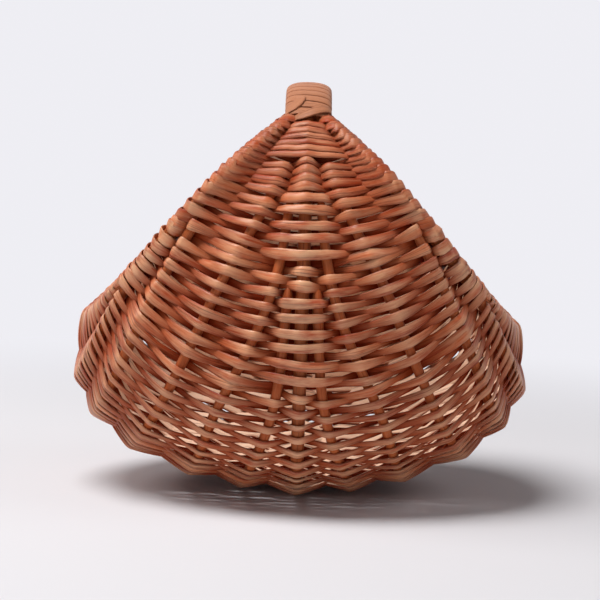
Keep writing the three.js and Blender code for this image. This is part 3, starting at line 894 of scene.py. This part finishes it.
def ear_wraps(random):
    """Short ends of weaver wound round the rims beside the handle, before the rows begin."""
    start, end = EAR_WRAP_SPAN
    turns = np.linspace(0, EAR_WRAP_TURNS, EAR_WRAP_POINTS)
    share = start + (end - start) * turns / EAR_WRAP_TURNS
    angle = 2 * math.pi * turns + EAR_WRAP_START
    reach = HOOP_ROD / 2 + ROD_CLEARANCE + WEAVER_THICKNESS * weaver_girth(0) / 2
    girth = weaver_girth(0) * rim_girth(0)
    for side in (-1, 1):
        points, radial = round_rim(share, side, angle, reach)
        for ear in ((1, 1, 1), (1, -1, 1)):
            rod = make_rod(points * ear, radial * ear, girth, random.uniform(0, EAR_TINT))
            rod["flat"] = np.full(EAR_WRAP_POINTS, RIM_FLAT)
            yield rod


def weaver_of(row):
    """The weaver node to which a row belongs."""
    number = int(row / (last_row + 1) * len(weaver_nodes))
    return weaver_nodes[min(number, len(weaver_nodes) - 1)]


WEAVE_SEED = 23

random = np.random.default_rng(WEAVE_SEED)
weaver_nodes = sorted(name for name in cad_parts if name.startswith("weaver_"))
weavers = {name: [] for name in weaver_nodes}
for line in weave_lines(random):
    for rod in cut_weavers(line, random):
        weavers[weaver_of(rod["row"])].append(rod)
for rod in break_wraps(random):
    weavers[weaver_of(rod["row"])].append(rod)
for rod in ear_wraps(random):
    weavers[weaver_nodes[0 if rod["points"][0, 1] < 0 else -1]].append(rod)
for name, rods in weavers.items():
    piece = sweep_rods(
        name + "_willow", rods, WEAVER_WIDTH, WEAVER_THICKNESS, WEAVER_SQUARENESS, WEAVER_SIDES, weave_willow)
    for vertex in piece.data.vertices:
        vertex.co.z = max(vertex.co.z, 0)
    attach(piece, "root")
    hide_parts(name)


# Handle skein: a split willow rod with its pith side dressed away, flat inside and rounded outside, and
# paler than the weave. It is wound tightly round the three hoops. At each ear its end is laid along the
# handle and bound in, and a last turn crosses from the handle's side over the keel and behind a rim.
SKEIN_WIDTH = 0.0068
SKEIN_THICKNESS = 0.0013
SKEIN_SQUARENESS = 0.45
SKEIN_PITCH = 0.0066
SKEIN_STEPS = 48
SKEIN_SLACK = 0.1
SKEIN_SLACK_GROWS = (0.7, 0.9)
SKEIN_SEED = 31
SKEIN_KNOTS = 60
SKEIN_UNEVENNESS = 0.03
SKEIN_TINT = 0.5
HANDLE_HALF_WIDTH = 0.0136
HANDLE_HALF_DEPTH = 0.0057
HANDLE_SQUARENESS = 2.4

skein_willow = willow(
    "skein_willow",
    tones=((0.40, 0.162, 0.082), (0.465, 0.202, 0.109)),
    streak_and_highlight=(0.58, 0.28, 0.16, 1), shade=(0.36, 0.13, 0.06, 1), roughness=0.5,
)


def handle_arc(share):
    """Points on the middle hoop from the near ear (-1) over mid handle (0) to the far ear (1)."""
    points = keel_curve(math.pi / 2 + (ear_angle - math.pi / 2) * np.abs(share))
    points[:, 1] *= np.where(share <= 0, 1, -1)
    return points


def handle_section(turn):
    """The wrapping's outline round the three hoops, at shares of a turn, as sideways and outward places."""
    angles = np.linspace(0, 2 * math.pi, LINE_POINTS)
    power = 2 / HANDLE_SQUARENESS
    x = HANDLE_HALF_WIDTH * np.sign(np.cos(angles)) * np.abs(np.cos(angles)) ** power
    out = HANDLE_HALF_DEPTH * np.sign(np.sin(angles)) * np.abs(np.sin(angles)) ** power
    return by_length(np.stack([x, out, np.zeros_like(x)], axis=-1))(np.mod(turn, 1))


random = np.random.default_rng(SKEIN_SEED)
arc_points = handle_arc(np.linspace(-1, 1, LINE_POINTS))
arc = by_length(arc_points)
arc_length = step_lengths(arc_points).sum()
skein_turns = int(arc_length / SKEIN_PITCH)
turn = np.linspace(0, skein_turns, skein_turns * SKEIN_STEPS + 1)
share = turn / skein_turns
middle = arc(share)
outward = unit(np.cross((1, 0, 0), unit(np.gradient(middle, axis=0))))
outline = handle_section(turn)
edge = unit(np.gradient(outline, axis=0))
points = middle + outline[:, 1:2] * outward
points[:, 0] = outline[:, 0]
facing = edge[:, 1:2] * np.array([[1, 0, 0]]) - edge[:, 0:1] * outward
slack = SKEIN_SLACK * smoothstep(np.abs(2 * share - 1), *SKEIN_SLACK_GROWS)
girth = 1 - slack + wander(random, len(points), SKEIN_KNOTS, SKEIN_UNEVENNESS)
wrap = make_rod(points, facing, girth, SKEIN_TINT)

LASHING_POINTS = 60
LASHING_STEP = 0.001
LASHING_BESIDE = 0.97
TUCK_KNOTS = (
    (-0.0141, 0.0022, 0.0000), (-0.0128, 0.0030, 0.0036), (-0.0100, 0.0050, 0.0053),
    (-0.0074, 0.0080, 0.0061), (-0.0058, 0.0110, 0.0064), (-0.0050, 0.0140, 0.0064),
    (-0.0046, 0.0165, 0.0056), (-0.0044, 0.0185, 0.0044),
)
TUCK_KNOT_GIRTHS = (0.7, 0.8, 0.95, 1, 0.95, 0.9, 0.85, 0.8)
TUCK_TINT = 0.35
CROSS_KNOTS = (
    (0.0139, 0.0065, 0.0000), (0.0128, 0.0048, 0.0042), (0.0095, 0.0032, 0.0064),
    (0.0045, 0.0010, 0.0070), (0.0000, -0.0012, 0.0066), (-0.0042, -0.0030, 0.0058),
    (-0.0080, -0.0042, 0.0046), (-0.0112, -0.0052, 0.0020),
)
CROSS_KNOT_GIRTHS = (0.7, 0.75, 0.85, 1, 1, 0.9, 0.6, 0.4)
CROSS_TINT = 0.2
FAR_LASHING_TINT = 0.6

keel_length = step_lengths(keel_line(shares)).sum()


def along_ear(x, distance, rise):
    """Points by their place across, distance up the handle from the ear (or down the keel), and rise."""
    up_share = np.maximum(distance, 0) / arc_length
    up, down = arc(up_share), keel_line(np.maximum(-distance, 0) / keel_length)
    middle = np.where((distance >= 0)[:, None], up, down)
    ahead = arc((np.maximum(distance, 0) + LASHING_STEP) / arc_length) - up
    outward = unit(np.cross((1, 0, 0), ahead))
    points = middle + rise[:, None] * outward
    points[:, 0] = x
    return points, outward


def smooth_line(knots, count):
    """A smooth line through rows of knots."""
    knots = np.asarray(knots)
    padded = np.concatenate([2 * knots[:1] - knots[1:2], knots, 2 * knots[-1:] - knots[-2:-1]])
    places = np.linspace(0, len(knots) - 1 - 1e-9, count)
    low = places.astype(int)
    t = (places - low)[:, None]
    a, b, c, d = (padded[low + i] for i in range(4))
    square = (2 * a - 5 * b + 4 * c - d) * t ** 2
    cube = (3 * b - a - 3 * c + d) * t ** 3
    return 0.5 * (2 * b + (c - a) * t + square + cube)


def lashing(knots, girths, tint):
    """A strip of skein through knots of (across, distance up the handle, rise), with its girth at each."""
    line = smooth_line(knots, LASHING_POINTS)
    points, outward = along_ear(*line.T)
    beside = np.clip(line[:, :1] / HANDLE_HALF_WIDTH, -LASHING_BESIDE, LASHING_BESIDE)
    inner = 1 - np.abs(beside) ** HANDLE_SQUARENESS
    slope = HANDLE_HALF_DEPTH / HANDLE_HALF_WIDTH * np.abs(beside) ** (HANDLE_SQUARENESS - 1)
    lean = np.sign(beside) * slope * inner ** (1 / HANDLE_SQUARENESS - 1)
    girth = np.interp(np.linspace(0, 1, LASHING_POINTS), np.linspace(0, 1, len(knots)), girths)
    return make_rod(points, outward + lean * (1, 0, 0), girth, tint)


lashings = [
    lashing(TUCK_KNOTS, TUCK_KNOT_GIRTHS, TUCK_TINT),
    lashing(CROSS_KNOTS, CROSS_KNOT_GIRTHS, CROSS_TINT),
]
turned = np.array((-1, -1, 1))
lashings += [
    make_rod(rod["points"] * turned, rod["facing"] * turned, rod["girth"], FAR_LASHING_TINT)
    for rod in lashings
]
piece = sweep_rods(
    "handle_skein_wrap", [wrap, *lashings], SKEIN_WIDTH, SKEIN_THICKNESS, SKEIN_SQUARENESS, WEAVER_SIDES,
    skein_willow)
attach(piece, "root")
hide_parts("handle_skein")


# Stage: a pale painted floor that runs into a plain pale ground, lit and shaded near the basket.
# The main soft lamp hangs above, to the left and a little in front; weak ones stand to the left, to the
# right and behind the camera.
GROUND = (0.86, 0.855, 0.90, 1)
FLOOR_TONE = (0.67, 0.67, 0.705, 1)
FLOOR_ROUGHNESS = 0.9
FLOOR_HALF = 30.0
FLOOR_FADES = (0.24, 0.75)
SKY_TONE = (1, 0.985, 0.98, 1)
SKY_STRENGTH = 0.04

floor_mesh = bpy.data.meshes.new("floor")
corners = [(x * FLOOR_HALF, y * FLOOR_HALF, 0) for x, y in ((-1, -1), (1, -1), (1, 1), (-1, 1))]
floor_mesh.from_pydata(corners, [], [(0, 1, 2, 3)])
floor = bpy.data.objects.new("floor", floor_mesh)
bpy.context.scene.collection.objects.link(floor)


def seen_rays(tree):
    """1 for the rays that show the ground: the camera's own, mirrored ones and those through glass."""
    path = add_node(tree, "ShaderNodeLightPath").link.node
    camera_ray, mirrored, through = (
        Socket(tree, path.outputs[f"Is {kind} Ray"]) for kind in ("Camera", "Glossy", "Transmission"))
    return camera_ray + mirrored + through


floor_paint = bpy.data.materials.new("floor_paint")
floor_paint.use_nodes = True
tree = floor_paint.node_tree
lit = tree.nodes["Principled BSDF"]
lit.inputs["Base Color"].default_value = FLOOR_TONE
lit.inputs["Roughness"].default_value = FLOOR_ROUGHNESS
plain = add_node(tree, "ShaderNodeEmission", None, (GROUND, 1.0))
place = add_node(tree, "ShaderNodeTexCoord", output=3)
distance = add_node(tree, "ShaderNodeVectorMath", {"operation": "LENGTH"}, (place,), 1)
values = (distance, *FLOOR_FADES, 0.0, 1.0)
fade = add_node(tree, "ShaderNodeMapRange", {"interpolation_type": "SMOOTHSTEP"}, values)
values = (fade * seen_rays(tree), Socket(tree, lit.outputs[0]), plain)
mix = add_node(tree, "ShaderNodeMixShader", None, values)
tree.links.new(mix.link, tree.nodes["Material Output"].inputs["Surface"])
floor_mesh.materials.append(floor_paint)

world = bpy.data.worlds.new("world")
bpy.context.scene.world = world
world.use_nodes = True
tree = world.node_tree
sky = tree.nodes["Background"]
sky.inputs["Color"].default_value = SKY_TONE
sky.inputs["Strength"].default_value = SKY_STRENGTH
seen = add_node(tree, "ShaderNodeBackground", None, (GROUND, 1.0))
mix = add_node(tree, "ShaderNodeMixShader", None, (seen_rays(tree), Socket(tree, sky.outputs[0]), seen))
tree.links.new(mix.link, tree.nodes["World Output"].inputs["Surface"])


def looking(place, aim):
    """The stand of a lamp or camera at a place, turned towards its aim."""
    sight = Vector(aim) - Vector(place)
    return Matrix.Translation(Vector(place)) @ sight.to_track_quat("-Z", "Y").to_matrix().to_4x4()


def soft_lamp(name, place, aim, size, power, colour):
    lamp_data = bpy.data.lights.new(name, "AREA")
    lamp_data.shape = "ELLIPSE"
    lamp_data.size, lamp_data.size_y = size
    lamp_data.energy = power
    lamp_data.color = colour
    lamp = bpy.data.objects.new(name, lamp_data)
    lamp.matrix_world = looking(place, aim)
    bpy.context.scene.collection.objects.link(lamp)


BELLY_AIM = (0, 0, 0.1)
FRONT_AIM = (0, 0, 0.12)
MAIN_LIGHT = (1, 0.975, 0.955)
WEAK_LIGHT = (1, 0.98, 0.97)
soft_lamp("top", (-0.6, -0.3, 2.0), BELLY_AIM, size=(0.8, 1.2), power=43, colour=MAIN_LIGHT)
soft_lamp("left", (-1.6, 0.1, 1.5), BELLY_AIM, size=(1.0, 1.0), power=14, colour=MAIN_LIGHT)
soft_lamp("right", (1.6, -0.2, 1.3), BELLY_AIM, size=(1.2, 1.2), power=6, colour=WEAK_LIGHT)
soft_lamp("front", (-0.5, -2.1, 0.55), FRONT_AIM, size=(1.8, 1.2), power=4, colour=WEAK_LIGHT)


# Camera: it stands level with the handle, in line with it, and looks down at the middle of the belly.
# A picture pixel is PIXEL wide amidships, and the basket leans a little to the right in the picture.
PICTURE_SIDE = 600
PIXEL = 0.000635
CAMERA_PLACE = (-0.0014, -1.25, 0.253)
CAMERA_AIM = (-0.0014, 0, 0.1207)
CAMERA_ROLL = math.radians(1.9)

camera_data = bpy.data.cameras.new("camera")
sight_length = (Vector(CAMERA_AIM) - Vector(CAMERA_PLACE)).length
camera_data.lens = camera_data.sensor_width * sight_length / (PICTURE_SIDE * PIXEL)
camera = bpy.data.objects.new("camera", camera_data)
camera.matrix_world = looking(CAMERA_PLACE, CAMERA_AIM) @ Matrix.Rotation(CAMERA_ROLL, 4, "Z")
bpy.context.scene.collection.objects.link(camera)
bpy.context.scene.camera = camera
bpy.context.scene.view_settings.view_transform = "Standard"
